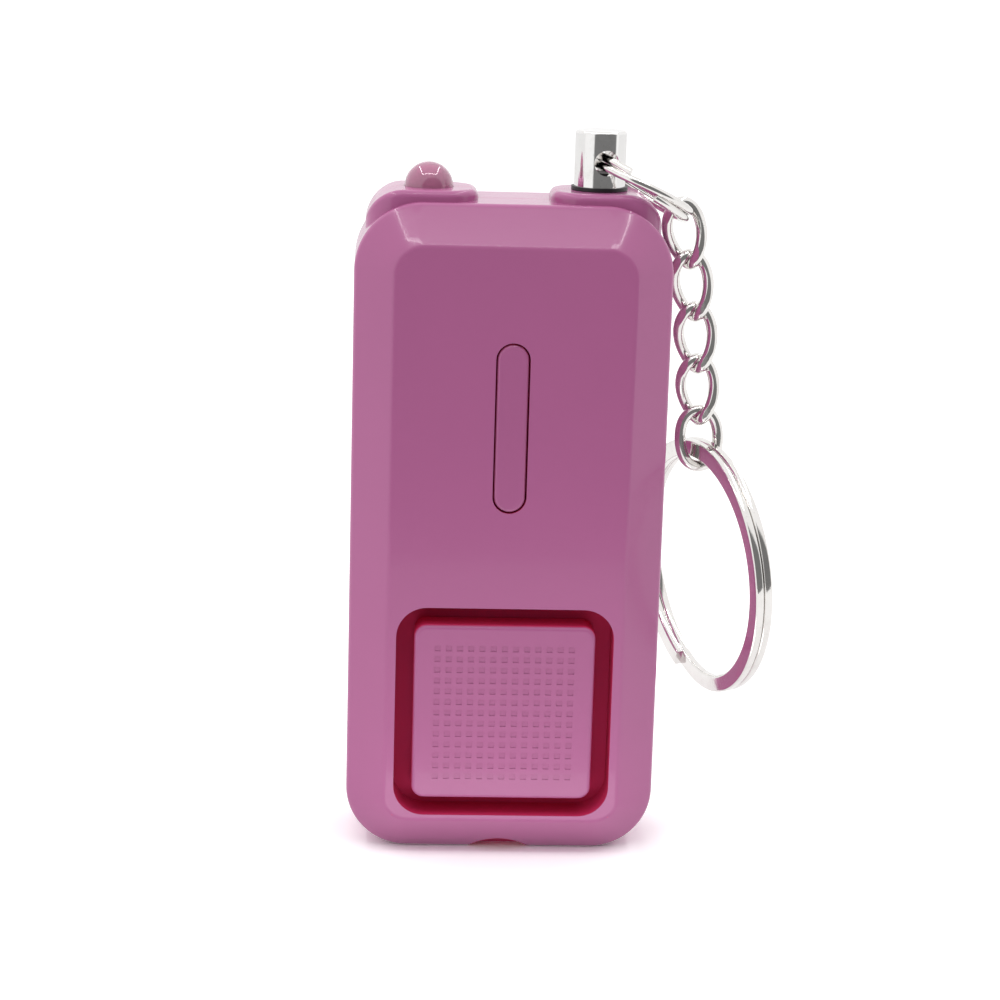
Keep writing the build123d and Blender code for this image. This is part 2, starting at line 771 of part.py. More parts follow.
def turned_location(origin, across, normal, angle):
    """The place of a form whose local X is across turned by angle about normal, its local Z."""
    beside = normal.cross(across)
    x_dir = across * cos(radians(angle)) + beside * sin(radians(angle))
    return Plane(origin=origin, x_dir=x_dir, z_dir=normal).location


def round_coil(wire, pitch, turns, radius):
    """Round wire wound about Z from the XY plane up, starting on X."""
    with BuildPart(mode=Mode.PRIVATE) as coil:
        with BuildLine() as middle:
            Helix(pitch, pitch * turns, radius)
        with BuildSketch(Plane(origin=middle.line @ 0, z_dir=middle.line % 0)):
            Circle(wire / 2)
        sweep(path=middle.line, is_frenet=True)
    return coil.part


def flat_coil(radial, axial, edge_radius, pitch, turns, radius):
    """Flat wire wound about Z from the XY plane up, starting on X."""
    with BuildPart(mode=Mode.PRIVATE) as coil:
        with BuildLine() as middle:
            Helix(pitch, pitch * turns, radius)
        with BuildSketch(Plane(origin=middle.line @ 0, x_dir=(1, 0, 0), z_dir=middle.line % 0)):
            RectangleRounded(radial, axial, edge_radius)
        sweep(path=middle.line, is_frenet=True)
    return coil.part


with BuildPart() as split_ring:
    with Locations(turned_location(ring_base, -ring_down, ring_normal, ring_start_angle)):
        add(round_coil(ring_wire, ring_pitch, ring_turns, ring_radius))
finish(split_ring.part, "split_ring")


def biarc(start, start_way, end, end_way):
    """Two tangent arcs from start to end that leave and arrive along the given ways."""
    span = end - start
    both = start_way + end_way
    spread = 2 * (1 - start_way.dot(end_way))
    reach = (sqrt(span.dot(both) ** 2 + spread * span.dot(span)) - span.dot(both)) / spread
    first_control = start + start_way * reach
    second_control = end - end_way * reach
    joint = (first_control + second_control) * 0.5
    TangentArc(start, joint, tangent=start_way)
    TangentArc(joint, end, tangent=second_control - first_control)


def link_form(length, width, twist, side_slope):
    """A link about the origin, long in Z: an oval of round wire whose ends are twisted opposite ways."""
    apex = Vector(0, 0, (length - link_wire) / 2)
    side = Vector((width - link_wire) / 2, 0, 0)
    top_way = Vector(cos(radians(twist)), sin(radians(twist)), 0)
    foot_way = Vector(-cos(radians(twist)), sin(radians(twist)), 0)
    down_way = Vector(0, -sin(radians(side_slope)), -cos(radians(side_slope)))
    with BuildPart(mode=Mode.PRIVATE) as half:
        with BuildLine() as middle:
            biarc(apex, top_way, side, down_way)
            biarc(side, down_way, -apex, foot_way)
        with BuildSketch(Plane(origin=middle.line @ 0, z_dir=middle.line % 0)):
            Circle(link_wire / 2)
        sweep(path=middle.line)
    with BuildPart(mode=Mode.PRIVATE) as link:
        with PolarLocations(0, 2):
            add(half.part)
    return link.part


def link_frame(centre, lean, yaw):
    """The place of a link about centre, turned by yaw about the vertical, its foot leaning out by lean."""
    axis = Vector(-sin(radians(lean)), 0, cos(radians(lean)))
    across = Vector(cos(radians(yaw)), sin(radians(yaw)), 0)
    across = (across - axis * across.dot(axis)).normalized()
    return Plane(origin=centre, x_dir=across, z_dir=axis).location


# Curb chain, from the split ring's far side down
tip_centre = ring_centre + ring_down * ring_radius
curb_link = link_form(link_length, link_width, link_twist, link_side_slope)
link_top = tip_centre + Vector(first_link_shift, 0, first_link_rise)
for index, lean in enumerate(link_leans):
    axis = Vector(-sin(radians(lean)), 0, cos(radians(lean)))
    if index:
        link_top = link_foot + axis * (link_wire + link_slack)
    link_foot = link_top - axis * (link_length - link_wire)
    centre = (link_top + link_foot) * 0.5
    with BuildPart() as chain_link:
        with Locations(link_frame(centre, lean, link_yaw)):
            add(curb_link)
    finish(chain_link.part, f"chain_link_{index + 1}")
    print("hinge", index + 1, link_top, link_foot)

axis = Vector(-sin(radians(end_link_lean)), 0, cos(radians(end_link_lean)))
end_link_top = link_foot + axis * (link_wire + link_slack)
end_link_foot = end_link_top - axis * (end_link_length - link_wire)
end_link_centre = (end_link_top + end_link_foot) * 0.5
with BuildPart() as end_link:
    with Locations(link_frame(end_link_centre, end_link_lean, end_link_yaw)):
        add(link_form(end_link_length, end_link_width, 0, 0))
finish(end_link.part, "end_link")

# Key ring: two turns of flat wire
key_ring_radius = (key_ring_diameter - key_ring_radial) / 2
key_ring_pitch = key_ring_coil + key_ring_coil_gap
key_ring_drop = key_ring_radius - key_ring_radial / 2 - link_wire / 2 - key_ring_slack
key_ring_centre = end_link_foot - axis * key_ring_drop
outward = Vector(cos(radians(key_ring_turn)), -sin(radians(key_ring_turn)), 0)
outward = (outward - axis * outward.dot(axis)).normalized()
key_ring_normal = outward.cross(axis)
key_ring_base = key_ring_centre - key_ring_normal * (key_ring_pitch * key_ring_turns / 2)
with BuildPart() as key_ring:
    with Locations(turned_location(key_ring_base, outward, key_ring_normal, key_ring_start_angle)):
        add(
            flat_coil(
                key_ring_radial,
                key_ring_coil,
                key_ring_edge_radius,
                key_ring_pitch,
                key_ring_turns,
                key_ring_radius,
            )
        )
finish(key_ring.part, "key_ring")
print("tip", tip_centre, "end link", end_link_top, end_link_foot, "key ring", key_ring_centre)
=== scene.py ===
"""Personal safety alarm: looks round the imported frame, laid out as an add-on and run as a script.

Metres, in the frame of the CAD model: +Z up, -Y towards the face with the button, +X towards the chain.
"""
import json
import math

import bpy
import numpy as np
from mathutils import Matrix, Vector


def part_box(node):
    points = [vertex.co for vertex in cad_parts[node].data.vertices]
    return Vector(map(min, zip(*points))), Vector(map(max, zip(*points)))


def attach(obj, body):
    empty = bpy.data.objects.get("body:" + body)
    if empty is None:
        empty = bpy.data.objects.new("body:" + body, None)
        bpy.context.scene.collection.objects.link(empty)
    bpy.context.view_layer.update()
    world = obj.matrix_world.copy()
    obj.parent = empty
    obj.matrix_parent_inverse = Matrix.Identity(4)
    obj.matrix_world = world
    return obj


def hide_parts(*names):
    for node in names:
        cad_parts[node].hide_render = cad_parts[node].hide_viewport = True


bl_info = {
    "name": "Personal Safety Alarm",
    "version": (1, 0, 0),
    "blender": (4, 5, 0),
    "location": "View3D > Sidebar > Alarm",
    "description": "Dresses the frame of a pull-pin personal alarm: its case, lamp, pin, rings and chain",
    "category": "Add Mesh",
}

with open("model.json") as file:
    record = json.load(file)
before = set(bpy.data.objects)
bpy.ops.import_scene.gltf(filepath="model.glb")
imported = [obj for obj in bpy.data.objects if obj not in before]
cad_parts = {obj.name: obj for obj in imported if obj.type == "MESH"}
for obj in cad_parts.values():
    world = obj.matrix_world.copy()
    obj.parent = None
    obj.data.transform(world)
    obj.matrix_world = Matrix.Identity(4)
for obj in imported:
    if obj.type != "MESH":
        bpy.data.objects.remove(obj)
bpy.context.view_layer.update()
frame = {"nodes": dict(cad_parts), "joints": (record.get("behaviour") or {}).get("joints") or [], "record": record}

MERGE_STEP = 1e-7
BUTTON_MIDDLE = 0.0159
CURB_LINKS = 4
UP = Vector((0, 0, 1))
FULL_TURN = 2 * math.pi
BODY_OF = {
    node: body
    for body, nodes in frame["record"]["behaviour"]["bodies"].items()
    for node in nodes
}
HINGE_AT = {joint["name"]: joint.get("pos_m") for joint in frame["joints"]}

# The camera fitted to the photograph: turns in degrees, places in metres, lens and sensor in millimetres
CAMERA_AZIMUTH = -2.9221
CAMERA_ELEVATION = 13.4985
CAMERA_ROLL = -1.6660
CAMERA_DISTANCE = 0.274768
CAMERA_TARGET = (-0.000529, 0.0, 0.036721)
CAMERA_LENS = 93.727
SENSOR_WIDTH = 36.0


def length(name, default, description):
    """A property that holds a length in metres."""
    return bpy.props.FloatProperty(
        name=name, description=description, default=default, min=0, unit="LENGTH", precision=5
    )


def angle(name, default, description):
    """A property that holds an angle, given in degrees."""
    return bpy.props.FloatProperty(
        name=name, description=description, default=math.radians(default), subtype="ANGLE"
    )


def share(name, default, description):
    """A property that holds a share from 0 to 1."""
    return bpy.props.FloatProperty(
        name=name, description=description, default=default, min=0, max=1, subtype="FACTOR"
    )


def colour(name, default, description):
    """A property that holds a linear colour."""
    return bpy.props.FloatVectorProperty(
        name=name, description=description, default=default, min=0, max=1, size=3, subtype="COLOR"
    )


class AlarmSizes(bpy.types.PropertyGroup):
    """Lengths and angles of the pieces that are drawn here"""

    link_wire: length("Link wire", 0.0012, "Thickness of the chain's wire")
    link_length: length("Link length", 0.0078, "Length of a curb link over its wire")
    link_width: length("Link width", 0.00475, "Width of a curb link over its wire")
    link_flat: length("Link flat", 0.00118, "Distance of a curb link's ground flats from its middle")
    link_twist: angle("Link twist", 45, "Turn of a curb link's top and foot away from its middle")
    link_shoulder: share("Link shoulder", 0.16, "Share by which a link's wire bulges past an ellipse")
    link_yaw: angle("Link yaw", -20, "Turn of the chain about the vertical")
    end_link_length: length("End link length", 0.00725, "Length of the last link over its wire")
    end_link_width: length("End link width", 0.0053, "Width of the last link over its wire")
    end_link_yaw: angle("End link yaw", 8, "Turn of the last link about the vertical")
    ring_wire: length("Ring wire", 0.00085, "Thickness of the small ring's wire")
    ring_diameter: length("Ring diameter", 0.012, "Outside diameter of the small ring")
    ring_shift: length("Ring seat", 0.00033, "Distance of the ring's wire from the middle of the hole")
    ring_slope: angle("Ring slope", 31, "Slope of the small ring below the horizontal")
    ring_turn: angle("Ring turn", 11.5, "Turn of the small ring about the vertical")
    ring_start: angle("Ring start", 90, "Place on the small ring where its wire begins")
    key_ring_diameter: length("Key ring diameter", 0.0275, "Outside diameter of the key ring")
    key_ring_band: length("Key ring band", 0.0018, "Width of the key ring's wire, seen from its side")
    key_ring_coil: length("Key ring coil", 0.00095, "Thickness of one coil of the key ring")
    key_ring_corner: length("Key ring corner", 0.00028, "Rounding of the key ring's flat wire")
    key_ring_slack: length("Key ring slack", 0.00046, "Room between the key ring and the last link")
    key_ring_turn: angle("Key ring turn", 69, "Turn of the key ring about the vertical")
    key_ring_start: angle("Key ring start", -78, "Place on the key ring where its wire begins")
    coil_gap: length("Coil gap", 0.00004, "Room between the coils of a ring")
    dimple_field: length("Dimple field", 0.0154, "Width of the square of dimples on the button")
    dimple_depth: length("Dimple depth", 0.0003, "Depth within which a dimple's floor lies")
    dimple_share: share("Dimple share", 0.3, "Share of the dimples' full depth that shows")
    lamp_radius: length("Lamp radius", 0.0025, "Radius of the lamp's dome")
    lamp_flange: length("Lamp flange", 0.0029, "Radius of the lamp's flange")
    lamp_flange_height: length("Lamp flange height", 0.001, "Height of the lamp's flange")


class AlarmColours(bpy.types.PropertyGroup):
    """Colours of the finishes"""

    pink: colour("Pink", (0.446, 0.127, 0.295), "The case's moulded plastic")
    # Painted shade: a darker, redder pink put down in the case's gaps and recesses and along its parting line
    painted_shade: colour("Deep pink", (0.6, 0.024, 0.12), "The same plastic down in its gaps")
    chrome: colour("Chrome", (0.86, 0.85, 0.84), "The pull pin's plating")
    nickel: colour("Nickel", (0.82, 0.8, 0.78), "The rings and the chain")
    steel: colour("Steel", (0.62, 0.61, 0.6), "Screws, cells and contacts")
    brass: colour("Brass", (0.72, 0.5, 0.2), "The siren's disc and the contact blades")
    copper: colour("Copper", (0.6, 0.23, 0.1), "The coil's wire")
    board: colour("Board", (0.02, 0.12, 0.05), "The circuit board's mask")
    black: colour("Black", (0.012, 0.012, 0.013), "Black plastic")
    ceramic: colour("Ceramic", (0.7, 0.67, 0.6), "The siren's ceramic")
    lamp: colour("Lamp", (0.72, 0.25, 0.44), "The lamp's tinted epoxy")


class Value:
    """A shader's socket on which Python's operators work, each adding its Math node"""

    def __init__(self, shader, socket):
        self.shader = shader
        self.socket = socket

    def output(self, name):
        """Another output of the same node"""
        return Value(self.shader, self.socket.node.outputs[name])

    def maths(self, operation, first, second=0.0):
        """The value that a Math node gives"""
        return self.shader.node("ShaderNodeMath", {"operation": operation}, {0: first, 1: second})

    def __add__(self, other):
        return self.maths("ADD", self, other)

    def __sub__(self, other):
        return self.maths("SUBTRACT", self, other)

    def __rsub__(self, other):
        return self.maths("SUBTRACT", other, self)

    def __mul__(self, other):
        return self.maths("MULTIPLY", self, other)

    def __abs__(self):
        return self.maths("ABSOLUTE", self)

    def over(self, edge, softness):
        """0 below the edge and 1 above it, with a soft step between"""
        return self.shader.node(
            "ShaderNodeMapRange",
            {"interpolation_type": "SMOOTHSTEP"},
            {0: self, 1: edge - softness / 2, 2: edge + softness / 2, 3: 0.0, 4: 1.0},
        )

    def under(self, edge, softness):
        """1 below the edge and 0 above it, with a soft step between"""
        return 1 - self.over(edge, softness)

    def larger(self, other):
        """The larger of the two values, kept within 0 and 1"""
        settings = {"operation": "MAXIMUM", "use_clamp": True}
        return self.shader.node("ShaderNodeMath", settings, {0: self, 1: other})


class Shader:
    """The nodes of a material or a world, added one by one"""

    def __init__(self, material, coordinates="Object"):
        self.material = material
        self.material.use_nodes = True
        self.tree = self.material.node_tree
        self.tree.nodes.clear()
        self.place = self.node("ShaderNodeTexCoord").output(coordinates)
        split = self.node("ShaderNodeSeparateXYZ", None, {0: self.place})
        self.x, self.y, self.z = (split.output(name) for name in "XYZ")

    def node(self, kind, settings=None, inputs=None):
        """A node of the kind, with its settings first and then the values or links of its sockets"""
        made = self.tree.nodes.new(kind)
        for name, value in (settings or {}).items():
            setattr(made, name, value)
        for name, value in (inputs or {}).items():
            if isinstance(value, Value):
                self.tree.links.new(value.socket, made.inputs[name])
            else:
                made.inputs[name].default_value = value
        return Value(self, made.outputs[0] if made.outputs else None)

    def noise(self, size, detail=2.0, roughness=0.5, vector=None):
        """Smooth noise from 0 to 1, with features of about the given size"""
        inputs = {"Vector": vector or self.place, "Scale": 1 / size}
        inputs.update({"Detail": detail, "Roughness": roughness})
        return self.node("ShaderNodeTexNoise", {"noise_dimensions": "3D"}, inputs)

    def stretched(self, scale):
        """The place, scaled along each axis"""
        return self.node("ShaderNodeVectorMath", {"operation": "MULTIPLY"}, {0: self.place, 1: scale})

    def mixed(self, factor, first, second):
        """The first colour where factor is 0 and the second where it is 1"""
        ends = [value if isinstance(value, Value) else (*value, 1) for value in (first, second)]
        mix = self.node("ShaderNodeMix", {"data_type": "RGBA"}, {0: factor, 6: ends[0], 7: ends[1]})
        return Value(self, mix.socket.node.outputs[2])

    def bump(self, height, strength, distance, normal=None):
        """A Bump node over a height from 0 to 1"""
        inputs = {"Height": height, "Strength": strength, "Distance": distance}
        if normal:
            inputs["Normal"] = normal
        return self.node("ShaderNodeBump", None, inputs)

    def finish(self, **sockets):
        """The material, with a Principled shader whose named sockets are set or linked"""
        names = {name.replace("_", " "): value for name, value in sockets.items()}
        surface = self.node("ShaderNodeBsdfPrincipled", None, names)
        self.node("ShaderNodeOutputMaterial", None, {"Surface": surface})
        return self.material


def shade(tone, amount):
    """A colour times a number"""
    return tuple(part * amount for part in tone)


def grey(level):
    """A neutral colour with its alpha"""
    return (level, level, level, 1)


def moulded_plastic(name, tone, painted_shade, shade_mask, roughness):
    """Polished plastic: faint flow marks and handling smears, and painted shade down in its gaps

    The gap function takes the shader and gives the share of painted shade there, rougher and unpolished.
    """
    smear_roughness, gap_roughness, polish = 0.1, 0.55, 0.28
    shader = Shader(bpy.data.materials.new(name))
    flow = shader.noise(size=0.011, detail=3.0)
    drawn_out = shader.stretched((1.0, 1.0, 0.45))
    smears = shader.noise(size=0.006, detail=4.0, roughness=0.6, vector=drawn_out)
    grain = shader.noise(size=0.00035)
    # The share of painted shade, down in the gaps
    shade_share = shade_mask(shader)
    surface = shader.mixed(flow, shade(tone, 0.97), shade(tone, 1.03))
    rough = (smears - 0.5) * smear_roughness + roughness + shade_share * gap_roughness
    waves = shader.bump(flow, strength=0.25, distance=0.0001)
    return shader.finish(
        Base_Color=shader.mixed(shade_share, surface, painted_shade),
        Roughness=rough,
        Specular_IOR_Level=0.32,
        Normal=shader.bump(grain, strength=0.06, distance=0.00002, normal=waves),
        Coat_Weight=(1 - shade_share) * polish,
        Coat_Roughness=0.06,
    )


def case_shade_mask(shader):
    """Where the case gets painted shade: the button's well, the pill's slot, the notch and the parting line

    The well and the pill are boxes and the notch is a circle about a middle below the foot. They begin
    just behind the front face and end at the parting line.
    """
    soft = 0.0001
    well_reach = 0.01142
    pill_middle, pill_reach, pill_end_reach = 0.04615, 0.00185, 0.0095
    notch_drop, notch_radius_squared, notch_shade_share = 0.00365, 0.0000238, 0.8
    face, foot = -0.00842, 0.00003
    seam_reach, seam_shade_share = 0.00006, 0.45
    beside = abs(shader.x)
    above_well = abs(shader.z - BUTTON_MIDDLE)
    in_well = beside.under(well_reach, soft) * above_well.under(well_reach, soft)
    above_pill = abs(shader.z - pill_middle)
    in_pill = beside.under(pill_reach, soft) * above_pill.under(pill_end_reach, 2 * soft)
    above_notch = shader.z + notch_drop
    distance_squared = shader.x * shader.x + above_notch * above_notch
    in_notch = distance_squared.under(notch_radius_squared, softness=0.0000004)
    in_notch = in_notch * shader.z.over(foot, softness=0.00005)
    inside = shader.y.over(face, soft) * shader.y.under(0, soft)
    # Painted shade down in the well, the pill's slot and the notch; the parting line is added below
    painted_shade = inside * (in_well + in_pill + in_notch * notch_shade_share)
    return painted_shade.larger(abs(shader.y).under(seam_reach, softness=0.00004) * seam_shade_share)


def trim_shade_mask(shader):
    """Painted shade on the sides of the button and the pill, below their faces, but not on the button's dimples"""
    field_reach, face, soft = 0.009, -0.0082, 0.0004
    past_sides = abs(shader.x).over(field_reach, soft)
    past_ends = abs(shader.z - BUTTON_MIDDLE).over(field_reach, soft)
    outside_field = (past_sides + past_ends).over(edge=0.5, softness=0.2)
    return shader.y.over(face, soft) * outside_field


def no_shade_mask(shader):
    """No painted shade"""
    return 0.0


def plated_metal(name, tone, roughness, stain):
    """Bright plating: faint polishing lines, fine pits and a little tarnish"""
    tarnish_tone, pit_tone, pit_share = (0.38, 0.33, 0.29), (0.2, 0.18, 0.17), 0.35
    cloud_roughness, tarnish_roughness, pit_roughness = 0.05, 0.2, 0.15
    shader = Shader(bpy.data.materials.new(name))
    cloud = shader.noise(size=0.0018, detail=4.0, roughness=0.6)
    tarnish = cloud.over(edge=0.58, softness=0.25) * stain
    lines = shader.noise(size=0.00012, vector=shader.stretched((1.0, 1.0, 0.08)))
    pits = shader.noise(size=0.00016, detail=1.0).over(edge=0.74, softness=0.04)
    surface = shader.mixed(tarnish, tone, tarnish_tone)
    rough = (cloud - 0.5) * cloud_roughness + roughness
    rough = rough + tarnish * tarnish_roughness + pits * pit_roughness
    waves = shader.bump(cloud, strength=0.12, distance=0.00006)
    return shader.finish(
        Base_Color=shader.mixed(pits * pit_share, surface, pit_tone),
        Metallic=1.0,
        Roughness=rough,
        Normal=shader.bump(lines, strength=0.08, distance=0.00001, normal=waves),
    )


def turned_metal(name, tone, roughness):
    """Plain stamped or turned metal for the inner pieces: brushed in one direction, with a dull bloom"""
    brushed_roughness, bloom_roughness = 0.15, 0.1
    shader = Shader(bpy.data.materials.new(name))
    along = shader.stretched((1.0, 1.0, 0.06))
    brushed = shader.noise(size=0.0001, detail=3.0, roughness=0.6, vector=along)
    bloom = shader.noise(size=0.003, detail=3.0)
    rough = (brushed - 0.5) * brushed_roughness + (bloom - 0.5) * bloom_roughness + roughness
    return shader.finish(
        Base_Color=shader.mixed(bloom, shade(tone, 0.82), shade(tone, 1.05)),
        Metallic=1.0,
        Roughness=rough,
        Normal=shader.bump(brushed, strength=0.15, distance=0.00002),
    )


def dull_plastic(name, tone, roughness):
    """Matt moulded or fired material: a fine spark-eroded grain and cloudy tone"""
    grain_roughness = 0.15
    shader = Shader(bpy.data.materials.new(name))
    grain = shader.noise(size=0.0002, detail=3.0, roughness=0.6)
    cloud = shader.noise(size=0.002)
    return shader.finish(
        Base_Color=shader.mixed(cloud, shade(tone, 0.85), shade(tone, 1.1)),
        Roughness=(grain - 0.5) * grain_roughness + roughness,
        Normal=shader.bump(grain, strength=0.3, distance=0.00002),
    )


def tinted_epoxy(name, tone):
    """Clear tinted epoxy with a glossy skin and the faint swirl of a cast lens"""
    least_roughness, swirl_roughness = 0.02, 0.02
    shader = Shader(bpy.data.materials.new(name))
    swirl = shader.noise(size=0.0015)
    return shader.finish(
        Base_Color=shader.mixed(swirl, shade(tone, 0.96), tone),
        Roughness=swirl * swirl_roughness + least_roughness,
        IOR=1.55,
        Transmission_Weight=0.45,
        Coat_Weight=0.8,
        Coat_Roughness=0.02,
        Normal=shader.bump(swirl, strength=0.03, distance=0.00005),
    )


def link_up(name, mesh, material, body, nodes):
    """An object for the mesh that rides on its body and stands for its nodes"""
    piece = bpy.data.objects.new(name, mesh)
    bpy.context.scene.collection.objects.link(piece)
    mesh.materials.append(material)
    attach(piece, body)
    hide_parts(*nodes)
    return piece


def smoothed(node, material, crease):
    """A copy of a node's mesh with its corners merged, smooth but for edges sharper than the crease

    The crease is in degrees. Corners in one cell of a fine grid become one corner, and triangles that this
    closes up are left out.
    """
    source = frame["nodes"][node].data
    corners = np.empty(len(source.vertices) * 3)
    source.vertices.foreach_get("co", corners)
    order = np.empty(len(source.loops), np.int64)
    source.loops.foreach_get("vertex_index", order)
    cells = np.round(corners.reshape(-1, 3) / MERGE_STEP).astype(np.int64)
    _, first, place = np.unique(cells, axis=0, return_index=True, return_inverse=True)
    triangles = place.reshape(-1)[order].reshape(-1, 3)
    proper = (triangles != np.roll(triangles, 1, axis=1)).all(axis=1)
    mesh = bpy.data.meshes.new(f"{node}_smooth")
    mesh.from_pydata(corners.reshape(-1, 3)[first].tolist(), [], triangles[proper].tolist())
    mesh.polygons.foreach_set("use_smooth", np.ones(len(mesh.polygons), bool))
    mesh.set_sharp_from_angle(angle=math.radians(crease))
    piece = link_up(f"{node}_smooth", mesh, material, BODY_OF[node], [node])
    normals = piece.modifiers.new("Weighted normals", "WEIGHTED_NORMAL")
    normals.keep_sharp = True
    return piece


def surface_mesh(name, points, closed_along, capped=False):
    """A mesh over a grid of points, which runs along the rows and closes round the columns

    Its faces are turned outwards by the sign of the volume that they enclose.
    """
    crease_degrees = 50
    rows, columns = points.shape[:2]
    index = np.arange(rows * columns).reshape(rows, columns)
    ring = np.hstack([index, index[:, :1]])
    if closed_along:
        ring = np.vstack([ring, ring[:1]])
    quads = np.stack([ring[:-1, :-1], ring[:-1, 1:], ring[1:, 1:], ring[1:, :-1]], -1).reshape(-1, 4)
    flat = points.reshape(-1, 3)
    first, second, third, fourth = (flat[quads[:, side]] for side in range(4))
    volume = (np.cross(second - first, third - first) * first).sum()
    volume += (np.cross(third - first, fourth - first) * first).sum()
    faces = quads.tolist()
    if capped:
        faces += [index[0, ::-1].tolist(), index[-1].tolist()]
    if volume < 0:
        faces = [face[::-1] for face in faces]
    mesh = bpy.data.meshes.new(name)
    mesh.from_pydata(flat.tolist(), [], faces)
    mesh.polygons.foreach_set("use_smooth", np.ones(len(mesh.polygons), bool))
    mesh.set_sharp_from_angle(angle=math.radians(crease_degrees))
    return mesh


def unit(vectors):
    """Each vector at length 1"""
    return vectors / np.linalg.norm(vectors, axis=-1, keepdims=True)


def carried(path, reference, section, closed):
    """A profile carried along a path

    At each point of the path the profile's second axis lies near the reference direction and its
    first one square to both the path's tangent and that.
    """
    if closed:
        tangent = unit(np.roll(path, -1, axis=0) - np.roll(path, 1, axis=0))
    else:
        tangent = unit(np.gradient(path, axis=0))
    across = unit(np.cross(reference, tangent))
    upward = np.cross(tangent, across)
    sideways = section[None, :, :1] * across[:, None]
    return path[:, None] + sideways + section[None, :, 1:] * upward[:, None]


def round_section(radius, count):
    """Points on a circle: radius times the cosine and sine of equal steps"""
    turn = np.linspace(0, FULL_TURN, count, endpoint=False)
    return radius * np.stack([np.cos(turn), np.sin(turn)], -1)


def band_section(width, height, corner, count):
    """A rounded rectangle: a circle of the corner's radius, its quarters pushed out to the four corners"""
    turn = np.linspace(0, FULL_TURN, count, endpoint=False) + FULL_TURN / (2 * count)
    circle = np.stack([np.cos(turn), np.sin(turn)], -1)
    return corner * circle + np.sign(circle) * (np.array([width, height]) / 2 - corner)


def revolved(radii, levels, centre, count):
    """A profile turned about the vertical through centre: each level has a circle of its radius"""
    turn = np.linspace(0, FULL_TURN, count, endpoint=False)
    x = centre.x + radii[:, None] * np.cos(turn)
    y = centre.y + radii[:, None] * np.sin(turn)
    return np.stack([x, y, np.broadcast_to(levels[:, None], x.shape)], -1)


def coil_points(radius, pitch, start, section):
    """Two coils of wire about Z, which lie flat but for one smooth step between them

    The wire goes 1.9 turns round the circle of the radius. Its height is the pitch times a smooth step
    from -1/2 to 1/2 in the middle of the way.
    """
    turns, step_width, steps = 1.9, 0.32, 460
    along = np.linspace(0, turns, steps)
    way = np.clip((along - turns / 2) / step_width + 0.5, 0, 1)
    height = pitch * (way * way * (3 - 2 * way) - 0.5)
    angles = start + FULL_TURN * along
    path = np.stack([radius * np.cos(angles), radius * np.sin(angles), height], -1)
    reference = np.broadcast_to(np.array([0.0, 0.0, 1.0]), path.shape)
    return carried(path, reference, section, closed=False)


def placed(points, centre, across, along):
    """Points of a form about the origin, with its X laid across and its Z along the given directions"""
    beside = along.cross(across)
    turned = points @ np.array([across, beside, along])
    return turned + np.array(centre)


def link_points(sizes, width, height, twist, flat):
    """A link about the origin, long in Z

    The middle of its wire is an oval, x = a cos t (1 + k sin^2 t) and z = b sin t, where k is the
    shoulder, turned about Z by the twist times z / b. Round wire is carried along it, and its sides are
    cut to the flats.
    """
    steps, wire_sides = 160, 28
    turn = np.linspace(0, FULL_TURN, steps, endpoint=False)
    half_width = (width - sizes.link_wire) / 2
    half_height = (height - sizes.link_wire) / 2
    x = half_width * np.cos(turn) * (1 + sizes.link_shoulder * np.sin(turn) ** 2)
    z = half_height * np.sin(turn)
    bend = twist * z / half_height
    path = np.stack([x * np.cos(bend), x * np.sin(bend), z], -1)
    face = np.stack([-np.sin(bend), np.cos(bend), 0 * bend], -1)
    points = carried(path, face, round_section(sizes.link_wire / 2, wire_sides), closed=True)
    points[..., 1] = np.clip(points[..., 1], -flat, flat)
    return points


def link_axes(sizes):
    """The foot, the direction up and the length of each link, from the places of the joints

    A joint stands at the middle of the wire in the foot of the link above it. Each link leans out at its
    foot by an angle from the vertical.
    """
    degrees_out = (11.0, 8.0, 5.0, 4.3, 4.3)
    joints = [f"link_{number}_swing" for number in range(2, CURB_LINKS + 2)] + ["key_ring_swing"]
    feet = [Vector(HINGE_AT[name]) for name in joints]
    leans = [math.radians(degrees) for degrees in degrees_out]
    ways = [Vector((-math.sin(lean), 0, math.cos(lean))) for lean in leans]
    heights = [sizes.link_length] * CURB_LINKS + [sizes.end_link_length]
    return list(zip(feet, ways, heights))


def across_link(yaw, along):
    """The direction across a link, at the yaw about the vertical and square to the link"""
    across = Vector((math.cos(yaw), math.sin(yaw), 0))
    return (across - along * across.dot(along)).normalized()


def shallower_dimples(mesh, sizes):
    """Makes the button's dimples shallower: each floor's depth below the face times the share"""
    points = np.empty(len(mesh.vertices) * 3)
    mesh.vertices.foreach_get("co", points)
    points = points.reshape(-1, 3)
    face = points[:, 1].min()
    middle = (points.min(axis=0) + points.max(axis=0)) / 2
    reach = np.abs(points - middle)[:, [0, 2]].max(axis=1)
    sunk = (reach < sizes.dimple_field / 2) & (points[:, 1] < face + sizes.dimple_depth)
    points[sunk, 1] = face + (points[sunk, 1] - face) * sizes.dimple_share
    mesh.vertices.foreach_set("co", points.ravel())
    mesh.update()


